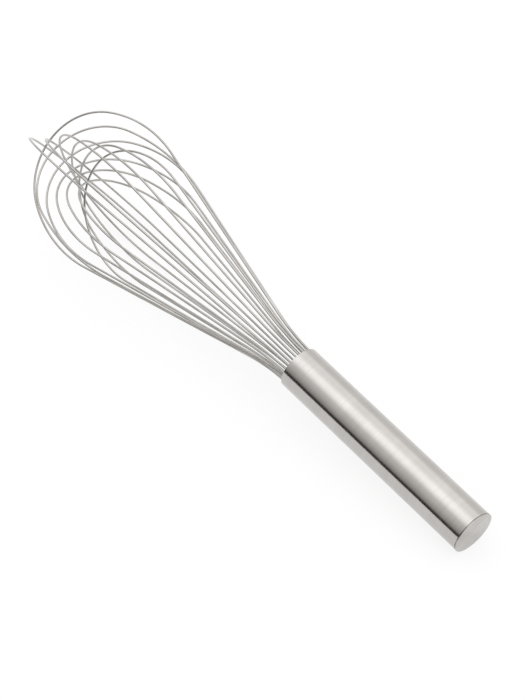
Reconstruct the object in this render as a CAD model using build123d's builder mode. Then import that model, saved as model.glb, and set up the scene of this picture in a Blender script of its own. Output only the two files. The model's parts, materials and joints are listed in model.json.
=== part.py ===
"""A balloon whisk: a sealed steel tube handle and twelve nested wire loops.

Each wire loop lies in a plane of its own through the handle's axis, and both of its legs are
held in a ring round the handle's mouth. The loops step inwards one after another, so that at
the tip each wire passes under the one before it without touching.

The row frame is how the whisk lies on a bench. The origin is the centre of the butt's flat
face, +X runs along the bench from the butt towards the tip, and +Z is up. The handle's own
axis rises a little from +X, because the cage is wider than the handle. Sizes are millimetres.
"""

import os
from math import asin, atan2, cos, degrees, hypot, radians, sin, sqrt, tan

from build123d import *

# handle
handle_radius = 12.7
handle_length = 135.0
tube_wall = 0.6
mouth_edge_radius = 0.2

# end cap: a flat disc with a spigot that enters the tube
cap_thickness = 0.6
cap_lip = 0.1
cap_edge_radius = 0.2
cap_joint_gap = 0.1
spigot_length = 6.0
spigot_wall = 0.8

# wires
wire_radius = 0.62
outer_reach = 214.0
outer_half_width = 42.5
flare_radius = 128.0
tip_radius_share = 0.92

# what holds the wires in the mouth: they stand in a ring, this clear of the bore
ring_bore_gap = 0.88
seal_length = 20.0
seal_recess = 1.0
core_wire_gap = 0.55
wire_end_gap = 0.5
stopper_thickness = 2.5
bond_gap = 0.05

# how the cage sits: its lean to +Y, and the stray of the outermost loop from its true plane
cage_lean = 1.0
stray_shift = 1.9
stray_lean = 1.0

# The loops from the outermost to the innermost: the turn of each from upright towards +Y, in
# degrees, and its reach and half width as shares of the outermost loop's. They go in pairs
# that cross almost square. The shoulder is where a leg, drawn on, would reach the full width,
# and its share says how far that is from the tip arc's centre, in half widths of its own loop.
loop_turns = (34, -50, 34, -69, 12, -79, 1, -99, -17, -110, -27, -121)
reach_shares = (1, 0.98, 0.96, 0.95, 0.935, 0.9, 0.89, 0.86, 0.85, 0.83, 0.815, 0.795)
width_shares = (1, 1, 0.985, 0.91, 0.94, 0.925, 0.895, 0.9, 0.85, 0.85, 0.875, 0.82)
shoulder_shares = (0.6, 0.5, 0.48, 0.9, 0.62, 0.52, 0.66, 0.46, 0.73, 0.61, 0.36, 0.61)

# one overrun for every cut
overrun = 2.0

tube_bore_radius = handle_radius - tube_wall
tube_start = cap_thickness + cap_joint_gap
ring_radius = tube_bore_radius - ring_bore_gap - wire_radius
seal_back = -seal_recess - seal_length


def tip_arc(reach, half_width):
    """The radius of a loop's tip arc, and its centre on the axis."""
    tip_radius = tip_radius_share * half_width
    return tip_radius, reach - tip_radius


def slope_of_leg(reach, half_width, shoulder):
    """The leg's angle: it runs to the shoulder and touches the flare's arc on the way."""
    along = tip_arc(reach, half_width)[1] - shoulder + seal_recess
    up = half_width - ring_radius - flare_radius
    return degrees(atan2(up, along) + asin(flare_radius / hypot(up, along)))


def belly_arc(reach, half_width, shoulder):
    """The belly arc's radius and centre, and the angle at which it meets the tip arc.

    It carries the leg to half_width and back, and runs on into the tip arc.
    """
    tip_radius, tip_x = tip_arc(reach, half_width)
    half_tangent = tan(radians(slope_of_leg(reach, half_width, shoulder)) / 2)
    square = half_tangent**2
    middle = shoulder * half_tangent + half_width - tip_radius
    rest = shoulder**2 + half_width**2 - tip_radius**2
    belly_radius = (middle - sqrt(middle**2 - square * rest)) / square
    belly_x = tip_x - shoulder + belly_radius * half_tangent
    belly_y = half_width - belly_radius
    return belly_radius, belly_x, belly_y, degrees(atan2(-belly_y, tip_x - belly_x))


# reach, half width and shoulder of each loop
loops = [
    (outer_reach * reach, outer_half_width * width, outer_half_width * width * shoulder)
    for reach, width, shoulder in zip(reach_shares, width_shares, shoulder_shares)
]

# The handle rises until the lowest wire and the butt's edge both touch the bench.
lowest_drop, lowest_x = max(
    (loop[1] * cos(radians(turn)), belly_arc(*loop)[1]) for turn, loop in zip(loop_turns, loops)
)
rest_rise = degrees(atan2(lowest_drop + wire_radius - handle_radius, handle_length + lowest_x))
whisk = Plane.XY.location * Location((0, 0, 0), (0, -rest_rise, 0))
cage = whisk * Location((handle_length, 0, 0), (0, 0, cage_lean))


def across(station):
    """The plane square to the handle's axis, this far from the butt's face."""
    return Plane(whisk * Location((station, 0, 0), (0, 90, 0)))


def loop_plane(turn, shift=0, lean=0):
    """The plane of one loop: x runs from the mouth to the tip, y across the loop."""
    turned = cage * Location((0, 0, 0), (90 - turn, 0, 0))
    return Plane(turned * Location((0, 0, -shift), (0, lean, 0)))


def finish(built, label, color):
    """Names a finished piece and writes its file."""
    built.part.label = label
    built.part.color = Color(*color)
    export_step(built.part, f"parts/{label}.step")


os.makedirs("parts", exist_ok=True)
steel = (0.72, 0.71, 0.70)
bright_wire = (0.62, 0.62, 0.61)
resin_grey = (0.50, 0.50, 0.48)
core_white = (0.85, 0.84, 0.80)
stopper_black = (0.12, 0.12, 0.12)

# handle tube: open at both ends, its mouth edges broken
with BuildPart() as handle_tube:
    with BuildSketch(across(tube_start)):
        Circle(handle_radius)
        Circle(tube_bore_radius, mode=Mode.SUBTRACT)
    extrude(amount=handle_length - tube_start)
    mouth_face = handle_tube.faces().sort_by(Axis(Plane(whisk).origin, Plane(whisk).x_dir))[-1]
    fillet(mouth_face.edges(), mouth_edge_radius)
finish(handle_tube, "handle_tube", steel)

# end cap: the disc that shows, and a ring-shaped spigot inside the tube
with BuildPart() as end_cap:
    with BuildSketch(across(0)):
        Circle(handle_radius + cap_lip)
    extrude(amount=cap_thickness)
    fillet(end_cap.edges(), cap_edge_radius)
    with BuildSketch(across(cap_thickness)):
        Circle(tube_bore_radius - bond_gap)
        Circle(tube_bore_radius - bond_gap - spigot_wall, mode=Mode.SUBTRACT)
    extrude(amount=spigot_length)
finish(end_cap, "end_cap", steel)

# stopper disc: closes the tube behind the seal
with BuildPart() as stopper_disc:
    with BuildSketch(across(handle_length + seal_back - bond_gap - stopper_thickness)):
        Circle(tube_bore_radius - bond_gap)
    extrude(amount=stopper_thickness)
finish(stopper_disc, "stopper_disc", stopper_black)

# wire core: the rod inside the ring of wires
core_radius = ring_radius - wire_radius - core_wire_gap
with BuildPart() as wire_core:
    with BuildSketch(across(handle_length + seal_back)):
        Circle(core_radius)
    extrude(amount=seal_length)
finish(wire_core, "wire_core", core_white)

# The plane of every loop. Only the outermost strays from its true plane.
loop_planes = [loop_plane(turn) for turn in loop_turns[1:]]
loop_planes.insert(0, loop_plane(loop_turns[0], stray_shift, stray_lean))

# resin seal: the ring of resin between core and tube, with a hole for each leg
with BuildPart() as resin_seal:
    with BuildSketch(across(handle_length + seal_back)):
        Circle(tube_bore_radius - bond_gap)
        Circle(core_radius + bond_gap, mode=Mode.SUBTRACT)
    extrude(amount=seal_length)
    for plane in loop_planes:
        leg_end = plane.from_local_coords((seal_back - overrun, 0, 0))
        with BuildSketch(Plane(origin=leg_end, x_dir=plane.y_dir, z_dir=plane.x_dir)):
            with Locations((ring_radius, 0), (-ring_radius, 0)):
                Circle(wire_radius + bond_gap)
        extrude(amount=seal_length + 2 * overrun, mode=Mode.SUBTRACT)
finish(resin_seal, "resin_seal", resin_grey)

# wire loops: one bent wire each, from its end in the seal round the tip to its other end
for number, (plane, loop) in enumerate(zip(loop_planes, loops), 1):
    leg_angle = slope_of_leg(*loop)
    rise, run = sin(radians(leg_angle)), cos(radians(leg_angle))
    belly_radius, belly_x, belly_y, meeting_angle = belly_arc(*loop)
    tip_radius, tip_x = tip_arc(*loop[:2])
    with BuildPart() as wire_loop:
        with BuildLine(plane) as bend:
            CenterArc((tip_x, 0), tip_radius, meeting_angle, -2 * meeting_angle)
            for side in (1, -1):
                held_y = side * ring_radius
                flare_y = held_y + side * flare_radius
                belly_angle = side * (90 + leg_angle)
                belly_sweep = side * meeting_angle - belly_angle
                leg_start = (flare_radius * rise - seal_recess, flare_y - side * flare_radius * run)
                leg_end = (belly_x - belly_radius * rise, side * (belly_y + belly_radius * run))
                Line((seal_back + wire_end_gap, held_y), (-seal_recess, held_y))
                CenterArc((-seal_recess, flare_y), flare_radius, -90 * side, leg_angle * side)
                Line(leg_start, leg_end)
                CenterArc((belly_x, side * belly_y), belly_radius, belly_angle, belly_sweep)
        path = bend.wire()
        with BuildSketch(Plane(origin=path @ 0, z_dir=path % 0)):
            Circle(wire_radius)
        sweep(path=path)
    finish(wire_loop, f"wire_loop_{number:02d}", bright_wire)
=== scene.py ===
# %% [markdown]
# # A balloon whisk on a pale table
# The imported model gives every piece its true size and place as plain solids. This lesson loads
# them as a fixed frame and gives each piece its surface: twelve bent wires, a ground steel tube
# with a flat cap, and the resin, core and stopper that hold the wires inside the handle.

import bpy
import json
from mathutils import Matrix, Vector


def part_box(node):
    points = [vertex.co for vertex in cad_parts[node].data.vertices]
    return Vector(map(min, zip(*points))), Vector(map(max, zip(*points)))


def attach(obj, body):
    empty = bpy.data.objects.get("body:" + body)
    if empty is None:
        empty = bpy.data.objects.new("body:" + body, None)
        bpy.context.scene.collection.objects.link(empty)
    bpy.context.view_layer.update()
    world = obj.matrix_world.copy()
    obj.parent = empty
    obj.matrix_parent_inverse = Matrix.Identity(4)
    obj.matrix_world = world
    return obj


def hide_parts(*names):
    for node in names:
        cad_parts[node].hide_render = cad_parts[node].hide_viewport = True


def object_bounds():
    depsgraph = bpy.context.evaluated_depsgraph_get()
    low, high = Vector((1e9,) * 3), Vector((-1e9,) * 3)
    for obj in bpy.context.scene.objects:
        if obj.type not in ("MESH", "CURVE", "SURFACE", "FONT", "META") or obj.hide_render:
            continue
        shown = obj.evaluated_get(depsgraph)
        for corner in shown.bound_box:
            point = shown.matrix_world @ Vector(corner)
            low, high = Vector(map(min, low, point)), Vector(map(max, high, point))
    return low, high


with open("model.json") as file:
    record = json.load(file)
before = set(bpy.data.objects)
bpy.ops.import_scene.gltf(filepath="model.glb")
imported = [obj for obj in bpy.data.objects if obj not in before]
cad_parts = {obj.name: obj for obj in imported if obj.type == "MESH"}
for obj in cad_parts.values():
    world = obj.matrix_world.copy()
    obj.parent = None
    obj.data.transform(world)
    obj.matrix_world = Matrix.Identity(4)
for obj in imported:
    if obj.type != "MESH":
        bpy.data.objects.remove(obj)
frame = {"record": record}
cad_low, cad_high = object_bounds()
print("the solids fill", [round(v, 4) for v in cad_high - cad_low], "metres")

# %% [markdown]
# ## Where things lie
# The whisk leans on its wide cage, so its axis isn't level. The frame's record says where the
# butt's face is and which way it looks, and the rest is measured from there. A matrix made from
# three directions turns a sketch in the whisk's own axes into its place on the table.

# %% The whisk's own axes
import json
from math import asin, atan2, ceil, cos, degrees, exp, hypot, pi, radians, sin, sqrt, tan

import bpy
from mathutils import Matrix, Vector

mm = 0.001
mounts = {mount["name"]: mount for mount in frame["record"]["mounts"]}
butt = Vector(mounts["butt_face"]["pos_m"])
along = -Vector(mounts["butt_face"]["axis"]).normalized()
across = Vector((0, 1, 0))
whisk = Matrix.Translation(butt) @ Matrix((along, across, along.cross(across))).transposed().to_4x4()
rise = asin(along.z)
bench = cad_low.z
print("the handle's axis rises", round(degrees(rise), 2), "degrees; the bench is at", round(bench, 5))

# %% [markdown]
# ## The camera
# The photograph looks down on the whisk from behind its butt, from well away, so the lens is a
# long one and both ends look almost equally near. The camera is placed as a photographer would
# say it: a point that it aims at, a distance, two angles and the lens.

# %% Set the camera
camera_aim = Vector((173.5 * mm, -8.3 * mm, bench))
camera_distance = 1367 * mm
camera_azimuth = radians(229.03)
camera_elevation = radians(48.96)
camera_roll = radians(-0.35)
lens_mm = 127.3

back = Vector((
    sin(camera_azimuth) * cos(camera_elevation),
    -cos(camera_azimuth) * cos(camera_elevation),
    sin(camera_elevation),
))
camera = bpy.data.objects.new("camera", bpy.data.cameras.new("camera"))
bpy.context.scene.collection.objects.link(camera)
stand = Matrix.Translation(camera_aim + back * camera_distance)
facing = (-back).to_track_quat("-Z", "Y").to_matrix().to_4x4()
camera.matrix_world = stand @ facing @ Matrix.Rotation(camera_roll, 4, "Z")
camera.data.lens = lens_mm
camera.data.clip_end = 100
bpy.context.scene.camera = camera
bpy.context.scene.view_settings.view_transform = "Standard"
print("the camera stands at", [round(v, 3) for v in camera.matrix_world.translation])

# %% [markdown]
# ## The table and the room
# The photograph's background is pure white, with no shadow to see. A white emission that only
# camera, glossy and transmission rays see brings the table up to white without any more diffuse
# light on the whisk, and the diffuse part under it keeps a soft shadow.

# %% Shader helpers
def new_material(name):
    """An empty node material, its tree and the tree's links."""
    material = bpy.data.materials.new(name)
    material.use_nodes = True
    tree = material.node_tree
    tree.nodes.clear()
    return material, tree, tree.links


def add(tree, kind, **values):
    """Adds a node and sets its properties, or its inputs where a value's name is a socket."""
    node = tree.nodes.new(kind)
    for name, value in values.items():
        if hasattr(node, name):
            setattr(node, name, value)
        else:
            node.inputs[name.replace("_", " ")].default_value = value
    return node


def seen_rays(tree):
    """1 for camera, glossy and transmission rays, and 0 for the others."""
    path = add(tree, "ShaderNodeLightPath")
    glossy = add(tree, "ShaderNodeMath", operation="MAXIMUM")
    either = add(tree, "ShaderNodeMath", operation="MAXIMUM")
    tree.links.new(path.outputs["Is Camera Ray"], glossy.inputs[0])
    tree.links.new(path.outputs["Is Glossy Ray"], glossy.inputs[1])
    tree.links.new(glossy.outputs[0], either.inputs[0])
    tree.links.new(path.outputs["Is Transmission Ray"], either.inputs[1])
    return either.outputs[0]


# %% The table
table_radius = 4.0
table_sides = 96
table_white = 0.2
table_glow = 0.8

material, tree, links = new_material("white_table")
matt = add(tree, "ShaderNodeBsdfDiffuse", Color=(table_white, table_white, table_white, 1))
glow = add(tree, "ShaderNodeEmission")
strength = add(tree, "ShaderNodeMath", operation="MULTIPLY")
strength.inputs[1].default_value = table_glow
links.new(seen_rays(tree), strength.inputs[0])
links.new(strength.outputs[0], glow.inputs["Strength"])
both = add(tree, "ShaderNodeAddShader")
links.new(matt.outputs[0], both.inputs[0])
links.new(glow.outputs[0], both.inputs[1])
out = add(tree, "ShaderNodeOutputMaterial")
links.new(both.outputs[0], out.inputs["Surface"])

mesh = bpy.data.meshes.new("table")
rim_angles = [2 * pi * k / table_sides for k in range(table_sides)]
rim = [(table_radius * cos(angle), table_radius * sin(angle), bench) for angle in rim_angles]
mesh.from_pydata(rim, [], [list(range(table_sides))])
mesh.materials.append(material)
table = bpy.data.objects.new("table", mesh)
bpy.context.scene.collection.objects.link(table)
print("the table is", 2 * table_radius, "m across")

# %% [markdown]
# ## Light
# Bare steel shows little but its surroundings, so they are built the way that a photographer
# builds them for metal. A sheet is arched over the whisk as a light tent. It is dark where it
# lies on the table on the camera's side, pales as it climbs, glows brightest overhead, and comes
# down white on the far side. The tube bends all of that into a dark line, a grey slope and one
# bright band with soft edges. A dimmer card stands beyond the butt. Only glossy rays see the
# tent and the card; a white room and one soft box light the rest.

# %% The room and its soft box
room_white = 1.0
box_x = (-700 * mm, 1700 * mm)
box_y = (-1000 * mm, 640 * mm)
box_height = 1300 * mm
box_brightness = 0.2

world = bpy.data.worlds.new("studio")
world.use_nodes = True
bpy.context.scene.world = world
tree = world.node_tree
tree.nodes.clear()
white = add(tree, "ShaderNodeBackground", Color=(1, 1, 1, 1), Strength=room_white)
out = add(tree, "ShaderNodeOutputWorld")
tree.links.new(white.outputs[0], out.inputs["Surface"])

light = bpy.data.lights.new("soft_box", "AREA")
light.shape = "RECTANGLE"
light.size, light.size_y = box_x[1] - box_x[0], box_y[1] - box_y[0]
light.energy = 4 * box_brightness * light.size * light.size_y
soft_box = bpy.data.objects.new("soft_box", light)
soft_box.location = (sum(box_x) / 2, sum(box_y) / 2, bench + box_height)
soft_box.visible_camera = soft_box.visible_glossy = False
bpy.context.scene.collection.objects.link(soft_box)
print("soft box", round(light.energy, 2), "W")

# %% The light tent and the card
# Each tone is (degrees up from the table, brightness), and each line is (distance, height) in mm.
tent_tones = (
    (0, 0.04), (7, 0.06), (11, 0.3), (17, 0.45), (26, 0.57), (36, 0.72), (45, 0.83), (54, 0.92),
    (62, 1.17), (71, 1.5), (80, 1.71), (92, 1.76), (99, 1.68), (108, 1.45), (120, 1.33), (132, 1.37),
    (142, 1.27), (152, 1.02), (180, 0.97),
)
tent_line = (
    (215, 0), (600, 0), (700, 30), (770, 100), (800, 200), (800, 900), (740, 1130), (600, 1300),
    (400, 1390), (150, 1420), (-600, 1420), (-1000, 1400), (-1400, 1280), (-1700, 1000), (-1850, 600),
    (-1900, 0),
)
card_tones = ((0, 0.3), (35, 0.4), (50, 0.85), (55, 1.0))
card_line = ((1300, 0), (1300, 1860))
sheet_lift = 0.5 * mm
# how much green and blue the darkest tone keeps
warm_green, warm_blue = 0.965, 0.92


def tone_sheet(name, line, left, right, tones, turn):
    """A glowing sheet for the steel to reflect, from left to right along X, then turned about Z.

    Its line is drawn in Y and Z, and its tones go by their angle up from the table.
    """
    material, tree, links = new_material(name)
    place = add(tree, "ShaderNodeTexCoord")
    ahead = add(tree, "ShaderNodeMapping", Rotation=(0, 0, -turn))
    split = add(tree, "ShaderNodeSeparateXYZ")
    angle = add(tree, "ShaderNodeMath", operation="ARCTAN2")
    share = add(tree, "ShaderNodeMath", operation="DIVIDE")
    top = tones[-1][0]
    share.inputs[1].default_value = radians(top)
    ramp = add(tree, "ShaderNodeValToRGB")
    brightest = max(tone for _, tone in tones)
    for position, _ in tones[2:]:
        ramp.color_ramp.elements.new(position / top)
    for element, (position, tone) in zip(ramp.color_ramp.elements, tones):
        level = tone / brightest
        green = level * (warm_green + (1 - warm_green) * level)
        blue = level * (warm_blue + (1 - warm_blue) * level)
        element.position = position / top
        element.color = (level, green, blue, 1)
    glow = add(tree, "ShaderNodeEmission", Strength=brightest)
    out = add(tree, "ShaderNodeOutputMaterial")
    for one, other in (
        (place.outputs["Object"], ahead.inputs["Vector"]),
        (ahead.outputs[0], split.inputs[0]),
        (split.outputs["Z"], angle.inputs[0]),
        (split.outputs["Y"], angle.inputs[1]),
        (angle.outputs[0], share.inputs[0]),
        (share.outputs[0], ramp.inputs[0]),
        (ramp.outputs[0], glow.inputs["Color"]),
        (glow.outputs[0], out.inputs["Surface"]),
    ):
        links.new(one, other)
    round_z = Matrix.Rotation(turn, 4, "Z")
    foot = bench + sheet_lift
    verts = [round_z @ Vector((x * mm, y * mm, foot + z * mm)) for y, z in line for x in (left, right)]
    mesh = bpy.data.meshes.new(name)
    mesh.from_pydata(verts, [], [(k, k + 1, k + 3, k + 2) for k in range(0, len(verts) - 2, 2)])
    mesh.materials.append(material)
    sheet = bpy.data.objects.new(name, mesh)
    sheet.visible_camera = sheet.visible_diffuse = sheet.visible_shadow = False
    bpy.context.scene.collection.objects.link(sheet)
    print(name, len(mesh.polygons), "faces, brightest", brightest)


tone_sheet("light_tent", tent_line, left=-1200, right=2600, tones=tent_tones, turn=0)
tone_sheet("dim_card", card_line, left=-700, right=1600, tones=card_tones, turn=radians(90))

# %% [markdown]
# ## Marks in the steel
# Steel is never one even tone. Grinding leaves fine parallel lines, and handling leaves soft
# smudges and a few scratches. Each effect is one node group with named inputs, so the tube, the
# cap and the wires can all use it, each with its own sizes.

# %% Grinding lines
# a noise texture's middle, and the range that most of its values lie in
noise_low, noise_middle, noise_high = 0.3, 0.5, 0.7


def new_group(name, inputs, outputs):
    """A shader group with its input and output nodes, from (name, kind, default) and (name, kind)."""
    group = bpy.data.node_groups.new(name, "ShaderNodeTree")
    for socket, kind, default in inputs:
        made = group.interface.new_socket(socket, in_out="INPUT", socket_type=kind)
        if default is not None:
            made.default_value = default
    for socket, kind in outputs:
        group.interface.new_socket(socket, in_out="OUTPUT", socket_type=kind)
    return group, add(group, "NodeGroupInput"), add(group, "NodeGroupOutput")


ground_lines, given, result = new_group(
    "ground_lines",
    [
        ("Vector", "NodeSocketVector", None),
        ("Lines", "NodeSocketVector", (1000, 1000, 1000)),
        ("Bands", "NodeSocketVector", (100, 100, 100)),
    ],
    [("Height", "NodeSocketFloat"), ("Tone", "NodeSocketFloat")],
)
tree = ground_lines
for source, target, detail in (("Lines", "Height", 3), ("Bands", "Tone", 4)):
    stretch = add(tree, "ShaderNodeVectorMath", operation="MULTIPLY")
    noise = add(tree, "ShaderNodeTexNoise", Scale=1, Detail=detail, Roughness=0.6)
    tree.links.new(given.outputs["Vector"], stretch.inputs[0])
    tree.links.new(given.outputs[source], stretch.inputs[1])
    tree.links.new(stretch.outputs[0], noise.inputs["Vector"])
    tree.links.new(noise.outputs[0], result.inputs[target])
print(ground_lines.name, len(tree.nodes), "nodes")

# %% Smudges and scratches
handling, given, result = new_group(
    "handling",
    [
        ("Vector", "NodeSocketVector", None),
        ("Smudge Size", "NodeSocketFloat", 0.02),
        ("Scratch Width", "NodeSocketFloat", 0.008),
    ],
    [("Smudge", "NodeSocketFloat"), ("Scratch", "NodeSocketFloat")],
)
tree = handling
shrink = add(tree, "ShaderNodeVectorMath", operation="DIVIDE")
tree.links.new(given.outputs["Vector"], shrink.inputs[0])
tree.links.new(given.outputs["Smudge Size"], shrink.inputs[1])
smudge = add(tree, "ShaderNodeTexNoise", Scale=1, Detail=5, Roughness=0.55, Distortion=0.6)
tree.links.new(shrink.outputs[0], smudge.inputs["Vector"])
tree.links.new(smudge.outputs[0], result.inputs["Smudge"])

total = None
scratch_turns = ((0.5, 0.2, 0.9), (1.3, -0.5, 2.1), (-0.4, 0.9, 0.3))
scratch_stretch = (14, 3, 14)
scratch_places = (0.6, 0.68)
for turn in scratch_turns:
    turned_way = add(tree, "ShaderNodeMapping", Rotation=turn)
    turned_way.inputs["Scale"].default_value = scratch_stretch
    lines = add(tree, "ShaderNodeTexNoise", Scale=9, Detail=1)
    middle = add(tree, "ShaderNodeMath", operation="SUBTRACT")
    middle.inputs[1].default_value = noise_middle
    size = add(tree, "ShaderNodeMath", operation="ABSOLUTE")
    share = add(tree, "ShaderNodeMath", operation="DIVIDE")
    narrow = add(tree, "ShaderNodeMapRange", interpolation_type="SMOOTHSTEP", To_Min=1, To_Max=0)
    where = add(tree, "ShaderNodeTexNoise", Scale=22, Detail=0)
    rare = add(tree, "ShaderNodeMapRange", interpolation_type="SMOOTHSTEP")
    rare.inputs["From Min"].default_value, rare.inputs["From Max"].default_value = scratch_places
    kept = add(tree, "ShaderNodeMath", operation="MULTIPLY")
    tree.links.new(given.outputs["Vector"], turned_way.inputs["Vector"])
    tree.links.new(turned_way.outputs[0], lines.inputs["Vector"])
    tree.links.new(turned_way.outputs[0], where.inputs["Vector"])
    tree.links.new(lines.outputs[0], middle.inputs[0])
    tree.links.new(middle.outputs[0], size.inputs[0])
    tree.links.new(size.outputs[0], share.inputs[0])
    tree.links.new(given.outputs["Scratch Width"], share.inputs[1])
    tree.links.new(share.outputs[0], narrow.inputs[0])
    tree.links.new(where.outputs[0], rare.inputs[0])
    tree.links.new(narrow.outputs[0], kept.inputs[0])
    tree.links.new(rare.outputs[0], kept.inputs[1])
    if total is not None:
        joined = add(tree, "ShaderNodeMath", operation="MAXIMUM")
        tree.links.new(total, joined.inputs[0])
        tree.links.new(kept.outputs[0], joined.inputs[1])
        total = joined.outputs[0]
    else:
        total = kept.outputs[0]
tree.links.new(total, result.inputs["Scratch"])
print(handling.name, len(tree.nodes), "nodes")

# %% Dirt in a joint
joint_dirt, given, result = new_group(
    "joint_dirt",
    [
        ("Vector", "NodeSocketVector", None),
        ("Station", "NodeSocketFloat", 0.0),
        ("Width", "NodeSocketFloat", 0.0004),
    ],
    [("Dirt", "NodeSocketFloat")],
)
tree = joint_dirt
dirt_patches_per_m = 220
split = add(tree, "ShaderNodeSeparateXYZ")
away = add(tree, "ShaderNodeMath", operation="SUBTRACT")
size = add(tree, "ShaderNodeMath", operation="ABSOLUTE")
share = add(tree, "ShaderNodeMath", operation="DIVIDE")
near = add(tree, "ShaderNodeMapRange", interpolation_type="SMOOTHSTEP", From_Min=0.35, To_Min=1, To_Max=0)
patches = add(tree, "ShaderNodeTexNoise", Scale=dirt_patches_per_m, Detail=3)
patchy = add(tree, "ShaderNodeMapRange", From_Min=0.35, From_Max=0.6, To_Min=0.3, To_Max=0.9)
dirt = add(tree, "ShaderNodeMath", operation="MULTIPLY")
for one, other in (
    (given.outputs["Vector"], split.inputs[0]),
    (split.outputs["X"], away.inputs[0]),
    (given.outputs["Station"], away.inputs[1]),
    (away.outputs[0], size.inputs[0]),
    (size.outputs[0], share.inputs[0]),
    (given.outputs["Width"], share.inputs[1]),
    (share.outputs[0], near.inputs["Value"]),
    (given.outputs["Vector"], patches.inputs["Vector"]),
    (patches.outputs[0], patchy.inputs["Value"]),
    (near.outputs[0], dirt.inputs[0]),
    (patchy.outputs[0], dirt.inputs[1]),
    (dirt.outputs[0], result.inputs["Dirt"]),
):
    tree.links.new(one, other)
print(joint_dirt.name, len(tree.nodes), "nodes")

# %% [markdown]
# ## Steel
# All the steel is one kind of material with different marks. The tube was ground while it spun,
# so its lines run round it and its reflections are drawn out along it. That stretch is the
# shader's anisotropy, turned by a UV map whose U runs along the axis. The lines that a close view
# shows are a bump and a slight change of tone. The dirt darkens only a fraction of a millimetre
# beside the joint.

# %% A steel material
dirt_colour = (0.045, 0.04, 0.035, 1)
dirt_width = 0.4 * mm
dirt_roughness = 0.4
scratch_roughness = 0.12
line_share = 0.6


def fit_noise(tree, noise, low, high):
    """Carries a noise's usual range over to the range from low to high."""
    fitted = add(tree, "ShaderNodeMapRange", From_Min=noise_low, From_Max=noise_high, To_Min=low, To_Max=high)
    tree.links.new(noise, fitted.inputs["Value"])
    return fitted.outputs[0]


def add_share(tree, value, share, base):
    """Base plus this share of value."""
    node = add(tree, "ShaderNodeMath", operation="MULTIPLY_ADD")
    node.inputs[1].default_value = share
    tree.links.new(value, node.inputs[0])
    tree.links.new(base, node.inputs[2])
    return node.outputs[0]


def steel(
    name, pale, dark, lines, bands, depth, ripples, ripple_depth, roughness, spread, stretch,
    coordinates, line_coordinates=None, dirt_station=None,
):
    """Ground or drawn steel. Each coordinates function adds the nodes that give a pattern's space."""
    material, tree, links = new_material(name)
    place = coordinates(tree)
    marks = add(tree, "ShaderNodeGroup", node_tree=ground_lines)
    marks.inputs["Lines"].default_value = lines
    marks.inputs["Bands"].default_value = bands
    wear = add(tree, "ShaderNodeGroup", node_tree=handling)
    links.new(line_coordinates(tree) if line_coordinates else place, marks.inputs["Vector"])
    links.new(place, wear.inputs["Vector"])

    # colour: pale and dark bands with finer lines in them
    shift = line_share * noise_middle
    blend = add(tree, "ShaderNodeMapRange", From_Min=noise_low + shift, From_Max=noise_high + shift)
    colour = add(tree, "ShaderNodeMix", data_type="RGBA")
    colour.inputs["A"].default_value = (*dark, 1)
    colour.inputs["B"].default_value = (*pale, 1)
    lined = add_share(tree, marks.outputs["Height"], line_share, marks.outputs["Tone"])
    links.new(lined, blend.inputs["Value"])
    links.new(blend.outputs[0], colour.inputs["Factor"])
    surface = colour.outputs["Result"]

    # roughness: from the smudges and the scratches
    rough = fit_noise(tree, wear.outputs["Smudge"], roughness - spread, roughness + spread)
    rough = add_share(tree, wear.outputs["Scratch"], scratch_roughness, rough)

    if dirt_station is not None:
        dirt = add(tree, "ShaderNodeGroup", node_tree=joint_dirt)
        dirt.inputs["Station"].default_value = dirt_station
        dirt.inputs["Width"].default_value = dirt_width
        links.new(place, dirt.inputs["Vector"])
        soiled = add(tree, "ShaderNodeMix", data_type="RGBA")
        soiled.inputs["B"].default_value = dirt_colour
        links.new(dirt.outputs["Dirt"], soiled.inputs["Factor"])
        links.new(surface, soiled.inputs["A"])
        surface = soiled.outputs["Result"]
        rough = add_share(tree, dirt.outputs["Dirt"], dirt_roughness, rough)

    # bump: the lines with the scratches cut in, over slow ripples that bend a reflection's edge
    cut = add(tree, "ShaderNodeMath", operation="SUBTRACT")
    links.new(marks.outputs["Height"], cut.inputs[0])
    links.new(wear.outputs["Scratch"], cut.inputs[1])
    swell = add(tree, "ShaderNodeTexNoise", Scale=ripples, Detail=1)
    links.new(place, swell.inputs["Vector"])
    swell_height = add(tree, "ShaderNodeMath", operation="MULTIPLY")
    swell_height.inputs[1].default_value = ripple_depth
    links.new(swell.outputs[0], swell_height.inputs[0])
    relief = add_share(tree, cut.outputs[0], depth, swell_height.outputs[0])
    bump = add(tree, "ShaderNodeBump", Strength=1, Distance=1)
    links.new(relief, bump.inputs["Height"])

    shader = add(tree, "ShaderNodeBsdfPrincipled", Metallic=1, Anisotropic=stretch)
    links.new(surface, shader.inputs["Base Color"])
    links.new(rough, shader.inputs["Roughness"])
    links.new(bump.outputs[0], shader.inputs["Normal"])
    if stretch:
        way = add(tree, "ShaderNodeTangent", direction_type="UV_MAP", uv_map=turned_map)
        links.new(way.outputs[0], shader.inputs["Tangent"])
    out = add(tree, "ShaderNodeOutputMaterial")
    links.new(shader.outputs[0], out.inputs["Surface"])
    print(name, len(tree.nodes), "nodes")
    return material


turned_map = "turned"


def whisk_space(tree):
    """Object coordinates turned into the whisk's own axes, with X along the handle."""
    place = add(tree, "ShaderNodeTexCoord")
    turn = add(tree, "ShaderNodeMapping", Rotation=(0, rise, 0))
    tree.links.new(place.outputs["Object"], turn.inputs["Vector"])
    return turn.outputs[0]


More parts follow.
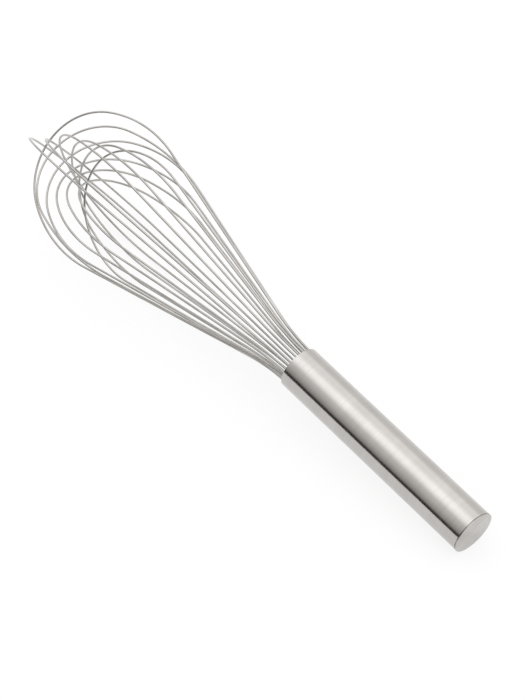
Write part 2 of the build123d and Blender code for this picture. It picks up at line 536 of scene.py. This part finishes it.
def turned_space(tree):
    """The whisk's axes with the distance from the handle's axis as X, for marks left by a lathe."""
    split = add(tree, "ShaderNodeSeparateXYZ")
    flat = add(tree, "ShaderNodeCombineXYZ")
    radius = add(tree, "ShaderNodeVectorMath", operation="LENGTH")
    place = add(tree, "ShaderNodeCombineXYZ")
    tree.links.new(whisk_space(tree), split.inputs[0])
    for axis in "YZ":
        tree.links.new(split.outputs[axis], flat.inputs[axis])
        tree.links.new(split.outputs[axis], place.inputs[axis])
    tree.links.new(flat.outputs[0], radius.inputs[0])
    tree.links.new(radius.outputs["Value"], place.inputs["X"])
    return place.outputs[0]


# %% [markdown]
# ## Turned pieces
# The tube, the cap and what sits inside the mouth are all round, so one helper makes them as a
# lathe does. An outline is a list of corners, each with its station along the axis, its radius
# and how far it is rounded off. The helper rounds the corners, turns the outline round the axis
# and closes it, and then puts the result in its place on the whisk.

# %% A lathe
pole_radius = 1e-9
map_scale = 200 * mm
sharp_angle = radians(35)


def rounded(corners, steps=6):
    """The outline with each corner replaced by an arc of its own rounding."""
    points = []
    for index, (x, y, rounding) in enumerate(corners):
        here = Vector((x, y))
        if not rounding:
            points.append(here)
            continue
        before = (Vector(corners[index - 1][:2]) - here).normalized()
        after = (Vector(corners[(index + 1) % len(corners)][:2]) - here).normalized()
        half = before.angle(after) / 2
        centre = here + (before + after).normalized() * rounding / sin(half)
        start, end = here + before * rounding / tan(half), here + after * rounding / tan(half)
        sweep = (start - centre).angle_signed(end - centre)
        for k in range(steps + 1):
            points.append(centre + Matrix.Rotation(-sweep * k / steps, 2) @ (start - centre))
    return points


def turned(name, points, sides=160):
    """A mesh of points (station, radius) turned round the axis. Its ends are poles or it closes on itself."""
    verts, rings = [], []
    for point in points:
        count = 1 if point.y < pole_radius else sides
        rings.append(range(len(verts), len(verts) + count))
        for k in range(count):
            angle = 2 * pi * k / sides
            verts.append(whisk @ Vector((point.x, point.y * sin(angle), point.y * cos(angle))))
    pairs = list(zip(rings, rings[1:]))
    lengths = [(a - b).length for a, b in zip(points, points[1:])]
    if len(rings[0]) > 1:
        pairs.append((rings[-1], rings[0]))
        lengths.append((points[-1] - points[0]).length)
    faces, map_points, start = [], [], 0
    for (one, other), length in zip(pairs, lengths):
        end = start + length
        for k in range(sides):
            spots = ((one, k, start), (one, k + 1, start), (other, k + 1, end), (other, k, end))
            corners = {}
            for ring, step, u in spots:
                corners.setdefault(ring[step % len(ring)], (u / map_scale, step / sides))
            faces.append(list(corners))
            map_points += corners.values()
        start = end
    mesh = bpy.data.meshes.new(name)
    mesh.from_pydata(verts, [], faces)
    layer = mesh.uv_layers.new(name=turned_map)
    layer.data.foreach_set("uv", [value for pair in map_points for value in pair])
    return mesh


def stand_for(piece, node):
    """Hides the solid that a piece stands for, hangs the piece on the root body, and prints how far its box
    is from its solid's.
    """
    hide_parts(node)
    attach(piece, "root")
    piece_low = [min(v.co[i] for v in piece.data.vertices) for i in range(3)]
    piece_high = [max(v.co[i] for v in piece.data.vertices) for i in range(3)]
    solid_low, solid_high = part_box(node)
    off = max(abs(a - b) for a, b in zip(piece_low + piece_high, [*solid_low, *solid_high]))
    print(piece.name, len(piece.data.polygons), "faces, within", round(off / mm, 3), "mm of", node)


def finish_piece(mesh, material, node):
    """Smooths a finished mesh and makes a piece of it."""
    mesh.materials.append(material)
    mesh.shade_smooth()
    mesh.set_sharp_from_angle(angle=sharp_angle)
    piece = bpy.data.objects.new(mesh.name, mesh)
    bpy.context.scene.collection.objects.link(piece)
    stand_for(piece, node)


# %% [markdown]
# ## The handle
# The tube is 25 mm steel tube with a thin wall, open at the mouth. The cap is a separate disc
# with a spigot that enters the tube, and a fine joint shows between them. Their outlines repeat
# the solids' sizes, and each box is set against its solid's to prove it.

# %% Sizes of the handle
handle_radius = mounts["handle_grip"]["dims"]["r_mm"] * mm
handle_length = 135 * mm
tube_wall = 0.6 * mm
mouth_rounding = 0.2 * mm
cap_thickness = 0.6 * mm
cap_lip = 0.1 * mm
cap_rounding = 0.2 * mm
joint_gap = 0.1 * mm
joint_rounding = 0.08 * mm
spigot_length = 6 * mm
spigot_wall = 0.8 * mm
bond_gap = 0.05 * mm
bore_radius = handle_radius - tube_wall
tube_start = cap_thickness + joint_gap
joint_station = cap_thickness + joint_gap / 2
print("the tube is", round((handle_length - tube_start) / mm, 2), "mm long")

# %% The tube and its ground finish
tube_steel = steel(
    "ground_tube_steel",
    pale=(0.535, 0.516, 0.498),
    dark=(0.475, 0.458, 0.442),
    lines=(2600, 45, 45),
    bands=(60, 9, 9),
    depth=0.0025 * mm,
    ripples=70,
    ripple_depth=0.06 * mm,
    roughness=0.17,
    spread=0.03,
    stretch=0.7,
    coordinates=whisk_space,
    dirt_station=joint_station,
)
tube_outline = rounded([
    (tube_start, handle_radius, joint_rounding),
    (handle_length, handle_radius, mouth_rounding),
    (handle_length, bore_radius, mouth_rounding),
    (tube_start, bore_radius, 0),
])
finish_piece(turned("handle_tube_ground", tube_outline), tube_steel, "handle_tube")

# %% The cap
cap_steel = steel(
    "turned_cap_steel",
    pale=(0.55, 0.529, 0.511),
    dark=(0.41, 0.393, 0.377),
    lines=(2200, 30, 30),
    bands=(0, 40, -40),
    depth=0.002 * mm,
    ripples=70,
    ripple_depth=0.01 * mm,
    roughness=0.26,
    spread=0.03,
    stretch=0.35,
    coordinates=whisk_space,
    line_coordinates=turned_space,
    dirt_station=joint_station,
)
cap_radius = handle_radius + cap_lip
spigot_radius = bore_radius - bond_gap
cap_outline = rounded([
    (0, 0, 0),
    (0, cap_radius, cap_rounding),
    (cap_thickness, cap_radius, cap_rounding),
    (cap_thickness, spigot_radius, 0),
    (cap_thickness + spigot_length, spigot_radius, 0),
    (cap_thickness + spigot_length, spigot_radius - spigot_wall, 0),
    (cap_thickness, spigot_radius - spigot_wall, 0),
    (cap_thickness, 0, 0),
])
finish_piece(turned("end_cap_turned", cap_outline), cap_steel, "end_cap")

# %% [markdown]
# ## The wires
# Each wire is one bent loop in a plane of its own: a leg held in the mouth, a gentle flare, a
# straight run, a belly and a tip. Two rules place the arcs so that each runs into the next. Then
# a Geometry Nodes tree sweeps a round section along the line. It also keeps, for every point,
# where that point lay while the wire was still straight, so that the drawing marks can follow
# the wire round its bends.

# %% The rule of a loop
wire_radius = 0.62 * mm
outer_reach = 214 * mm
outer_half_width = 42.5 * mm
flare_radius = 128 * mm
tip_radius_share = 0.92
ring_bore_gap = 0.88 * mm
ring_radius = bore_radius - ring_bore_gap - wire_radius
seal_length = 20 * mm
seal_recess = 1 * mm
wire_end_gap = 0.5 * mm
cage_lean = radians(1)
stray_shift = 1.9 * mm
stray_lean = radians(1)
loop_turns = (34, -50, 34, -69, 12, -79, 1, -99, -17, -110, -27, -121)
reach_shares = (1, 0.98, 0.96, 0.95, 0.935, 0.9, 0.89, 0.86, 0.85, 0.83, 0.815, 0.795)
width_shares = (1, 1, 0.985, 0.91, 0.94, 0.925, 0.895, 0.9, 0.85, 0.85, 0.875, 0.82)
shoulder_shares = (0.6, 0.5, 0.48, 0.9, 0.62, 0.52, 0.66, 0.46, 0.73, 0.61, 0.36, 0.61)
line_step = 1.5 * mm
cage = whisk @ Matrix.Translation((handle_length, 0, 0)) @ Matrix.Rotation(cage_lean, 4, "Z")


def loop_frame(turn, shift=0, lean=0):
    """A loop's own frame: x from the mouth to the tip, y across the loop."""
    turned_frame = cage @ Matrix.Rotation(radians(90 - turn), 4, "X")
    return turned_frame @ Matrix.Translation((0, 0, -shift)) @ Matrix.Rotation(lean, 4, "Y")


# only the outermost loop strays from its true plane
loop_frames = [loop_frame(loop_turns[0], stray_shift, stray_lean)]
loop_frames += [loop_frame(turn) for turn in loop_turns[1:]]
print(len(loop_frames), "loops stand in a ring", round(ring_radius / mm, 2), "mm from the axis")


def arc(centre, radius, start, end):
    """Points along an arc, both ends included."""
    steps = ceil(abs(end - start) * radius / line_step)
    angles = [start + (end - start) * k / steps for k in range(steps + 1)]
    return [Vector((centre[0] + radius * cos(a), centre[1] + radius * sin(a))) for a in angles]


def half_loop(reach, half_width, shoulder):
    """Points of one side of a loop, from the wire's end in the seal to the tip."""
    tip_radius = tip_radius_share * half_width
    tip_x = reach - tip_radius
    run, up = tip_x - shoulder + seal_recess, half_width - ring_radius - flare_radius
    slope = atan2(up, run) + asin(flare_radius / hypot(up, run))
    half_tangent = tan(slope / 2)
    middle = shoulder * half_tangent + half_width - tip_radius
    rest = shoulder**2 + half_width**2 - tip_radius**2
    belly_radius = (middle - sqrt(middle**2 - half_tangent**2 * rest)) / half_tangent**2
    belly = (tip_x - shoulder + belly_radius * half_tangent, half_width - belly_radius)
    meeting = atan2(-belly[1], tip_x - belly[0])
    line = [Vector((wire_end_gap - seal_recess - seal_length, ring_radius))]
    line += arc((-seal_recess, ring_radius + flare_radius), flare_radius, -pi / 2, slope - pi / 2)
    line += arc(belly, belly_radius, pi / 2 + slope, meeting)
    line += arc((tip_x, 0), tip_radius, meeting, 0)[1:]
    return line


# %% The tree that bends a wire
straight_name = "straight_wire"
# a face on the wire's side has this many corners, and the faces at its ends have more
side_corners = 4


def wire_tree(sides, material):
    """Geometry Nodes: sweeps a round wire along an edge line and keeps its straight coordinates."""
    tree = bpy.data.node_groups.new("bend_wire", "GeometryNodeTree")
    tree.interface.new_socket("Geometry", in_out="INPUT", socket_type="NodeSocketGeometry")
    tree.interface.new_socket("Wire Radius", in_out="INPUT", socket_type="NodeSocketFloat")
    tree.interface.new_socket("Geometry", in_out="OUTPUT", socket_type="NodeSocketGeometry")
    given, result = add(tree, "NodeGroupInput"), add(tree, "NodeGroupOutput")
    line = add(tree, "GeometryNodeMeshToCurve")
    length = add(tree, "GeometryNodeSplineParameter")
    keep_length = add(tree, "GeometryNodeCaptureAttribute")
    keep_length.capture_items.new("FLOAT", "Length")
    section = add(tree, "GeometryNodeCurvePrimitiveCircle", Resolution=sides)
    spot = add(tree, "GeometryNodeInputPosition")
    keep_spot = add(tree, "GeometryNodeCaptureAttribute")
    keep_spot.capture_items.new("VECTOR", "Spot")
    sweep = add(tree, "GeometryNodeCurveToMesh")
    sweep.inputs["Fill Caps"].default_value = True
    split = add(tree, "ShaderNodeSeparateXYZ")
    straight = add(tree, "ShaderNodeCombineXYZ")
    store = add(tree, "GeometryNodeStoreNamedAttribute", data_type="FLOAT_VECTOR", domain="POINT")
    store.inputs["Name"].default_value = straight_name
    corners = add(tree, "GeometryNodeInputMeshFaceNeighbors")
    side = add(tree, "FunctionNodeCompare", data_type="INT", operation="LESS_EQUAL")
    side.inputs[3].default_value = side_corners
    smooth = add(tree, "GeometryNodeSetShadeSmooth")
    realize = add(tree, "GeometryNodeRealizeInstances")
    finish = add(tree, "GeometryNodeSetMaterial", Material=material)
    for one, other in (
        (given.outputs["Geometry"], line.inputs[0]),
        (line.outputs[0], keep_length.inputs["Geometry"]),
        (length.outputs["Length"], keep_length.inputs["Length"]),
        (given.outputs["Wire Radius"], section.inputs["Radius"]),
        (section.outputs[0], keep_spot.inputs["Geometry"]),
        (spot.outputs[0], keep_spot.inputs["Spot"]),
        (keep_length.outputs["Geometry"], sweep.inputs["Curve"]),
        (keep_spot.outputs["Geometry"], sweep.inputs["Profile Curve"]),
        (keep_spot.outputs["Spot"], split.inputs[0]),
        (split.outputs["X"], straight.inputs["X"]),
        (split.outputs["Y"], straight.inputs["Y"]),
        (keep_length.outputs["Length"], straight.inputs["Z"]),
        (sweep.outputs[0], store.inputs["Geometry"]),
        (straight.outputs[0], store.inputs["Value"]),
        (store.outputs[0], smooth.inputs["Geometry"]),
        (corners.outputs["Vertex Count"], side.inputs[2]),
        (side.outputs[0], smooth.inputs["Selection"]),
        (smooth.outputs[0], realize.inputs[0]),
        (realize.outputs[0], finish.inputs["Geometry"]),
        (finish.outputs[0], result.inputs[0]),
    ):
        tree.links.new(one, other)
    print(tree.name, len(tree.nodes), "nodes")
    return tree


def settle(piece):
    """Turns what the piece's modifiers make into its own mesh, and removes them."""
    done = bpy.data.meshes.new_from_object(piece.evaluated_get(bpy.context.evaluated_depsgraph_get()))
    piece.modifiers.clear()
    piece.data = done


# %% Bend the twelve wires
wire_sides = 16


def straight_space(tree):
    """The place of each point on the wire while it was straight, with Z along the wire."""
    return add(tree, "ShaderNodeAttribute", attribute_name=straight_name).outputs["Vector"]


wire_steel = steel(
    "drawn_wire_steel",
    pale=(0.57, 0.553, 0.535),
    dark=(0.34, 0.329, 0.317),
    lines=(5000, 5000, 120),
    bands=(400, 400, 40),
    depth=0.004 * mm,
    ripples=200,
    ripple_depth=0.01 * mm,
    roughness=0.12,
    spread=0.04,
    stretch=0,
    coordinates=straight_space,
)
bend_wire = wire_tree(wire_sides, wire_steel)
radius_socket = next(item.identifier for item in bend_wire.interface.items_tree if item.name == "Wire Radius")
shares = zip(reach_shares, width_shares, shoulder_shares)
for number, (plane, (reach, width, shoulder)) in enumerate(zip(loop_frames, shares), 1):
    half_width = outer_half_width * width
    side = half_loop(outer_reach * reach, half_width, half_width * shoulder)
    line = side + [Vector((p.x, -p.y)) for p in reversed(side[:-1])]
    mesh = bpy.data.meshes.new(f"bent_wire_{number:02d}")
    mesh.from_pydata([plane @ p.to_3d() for p in line], [(k, k + 1) for k in range(len(line) - 1)], [])
    wire = bpy.data.objects.new(mesh.name, mesh)
    bpy.context.scene.collection.objects.link(wire)
    bend = wire.modifiers.new("bend", "NODES")
    bend.node_group = bend_wire
    bend[radius_socket] = wire_radius
    settle(wire)
    stand_for(wire, f"wire_loop_{number:02d}")

# %% [markdown]
# ## Inside the mouth
# A plastic core spreads the wires into a ring, and grey resin is cast round them. Before it
# sets, the resin creeps a little way up each wire, and it shrinks into a shallow dish between
# them. The seal is turned with many rings on its face, and each point of the face is then lifted
# by how near it is to a wire.

# %% Finishes of the seal, the core and the stopper
cloud_share = 0.2


def moulded(name, colour, speck, grain_per_m, depth, roughness, spread, coat=0.0):
    """Cast or moulded material: a mottled colour, a fine skin and uneven gloss."""
    material, tree, links = new_material(name)
    place = whisk_space(tree)
    cloud = add(tree, "ShaderNodeTexNoise", Scale=grain_per_m * cloud_share, Detail=4)
    grain = add(tree, "ShaderNodeTexNoise", Scale=grain_per_m, Detail=3)
    links.new(place, cloud.inputs["Vector"])
    links.new(place, grain.inputs["Vector"])
    blend = add(tree, "ShaderNodeMapRange", From_Min=0.35, From_Max=0.65)
    links.new(cloud.outputs[0], blend.inputs["Value"])
    mottle = add(tree, "ShaderNodeMix", data_type="RGBA")
    mottle.inputs["A"].default_value = (*colour, 1)
    mottle.inputs["B"].default_value = (*speck, 1)
    links.new(blend.outputs[0], mottle.inputs["Factor"])
    rough = fit_noise(tree, grain.outputs[0], roughness - spread, roughness + spread)
    bump = add(tree, "ShaderNodeBump", Strength=1)
    bump.inputs["Distance"].default_value = depth
    links.new(grain.outputs[0], bump.inputs["Height"])
    shader = add(tree, "ShaderNodeBsdfPrincipled")
    shader.inputs["Coat Weight"].default_value = coat
    links.new(mottle.outputs["Result"], shader.inputs["Base Color"])
    links.new(rough, shader.inputs["Roughness"])
    links.new(bump.outputs[0], shader.inputs["Normal"])
    out = add(tree, "ShaderNodeOutputMaterial")
    links.new(shader.outputs[0], out.inputs["Surface"])
    print(name, len(tree.nodes), "nodes")
    return material


resin = moulded(
    "cast_resin", colour=(0.24, 0.24, 0.225), speck=(0.31, 0.31, 0.29),
    grain_per_m=2600, depth=0.01 * mm, roughness=0.3, spread=0.08, coat=0.3,
)
core_plastic = moulded(
    "core_plastic", colour=(0.7, 0.68, 0.62), speck=(0.64, 0.62, 0.56),
    grain_per_m=3500, depth=0.008 * mm, roughness=0.5, spread=0.06,
)
stopper_rubber = moulded(
    "stopper_rubber", colour=(0.02, 0.02, 0.02), speck=(0.035, 0.034, 0.032),
    grain_per_m=4000, depth=0.015 * mm, roughness=0.75, spread=0.08,
)

# %% Core and stopper
core_wire_gap = 0.55 * mm
stopper_thickness = 2.5 * mm
core_rounding = 0.3 * mm
core_radius = ring_radius - wire_radius - core_wire_gap
seal_front = handle_length - seal_recess
seal_back = seal_front - seal_length
core_outline = rounded([
    (seal_back, 0, 0),
    (seal_back, core_radius, core_rounding),
    (seal_front, core_radius, core_rounding),
    (seal_front, 0, 0),
])
finish_piece(turned("core_rod", core_outline), core_plastic, "wire_core")

stopper_front = seal_back - bond_gap
stopper_outline = rounded([
    (stopper_front - stopper_thickness, 0, 0),
    (stopper_front - stopper_thickness, bore_radius - bond_gap, core_rounding),
    (stopper_front, bore_radius - bond_gap, core_rounding),
    (stopper_front, 0, 0),
])
finish_piece(turned("stopper_rubber", stopper_outline), stopper_rubber, "stopper_disc")

# %% The seal and its creep up the wires
creep_height = 0.45 * mm
creep_reach = 0.35 * mm
creep_end = 4 * creep_reach
dish_depth = 0.18 * mm
face_rings = 16
seal_sides = 480
seal_inner = core_radius + bond_gap
seal_outer = bore_radius - bond_gap
face_step = (seal_outer - seal_inner) / face_rings
seal_outline = [Vector((seal_back, seal_outer))]
seal_outline += [Vector((seal_front, seal_outer - face_step * k)) for k in range(face_rings + 1)]
seal_outline += [Vector((seal_back, seal_inner))]
mesh = turned("seal_cast", seal_outline, seal_sides)

legs = [plane @ Vector((-seal_recess, side * ring_radius, 0)) for plane in loop_frames for side in (1, -1)]
to_whisk = whisk.inverted()
for vertex in mesh.vertices:
    spot = to_whisk @ vertex.co
    if spot.x < seal_front - bond_gap:
        continue
    share = (hypot(spot.y, spot.z) - seal_inner) / (seal_outer - seal_inner)
    lift = -dish_depth * sin(pi * min(max(share, 0), 1))
    for leg in legs:
        gap = max(0, (vertex.co - leg).length - wire_radius)
        if gap < creep_end:
            lift += creep_height * exp(-gap / creep_reach)
    vertex.co += along * lift
finish_piece(mesh, resin, "resin_seal")
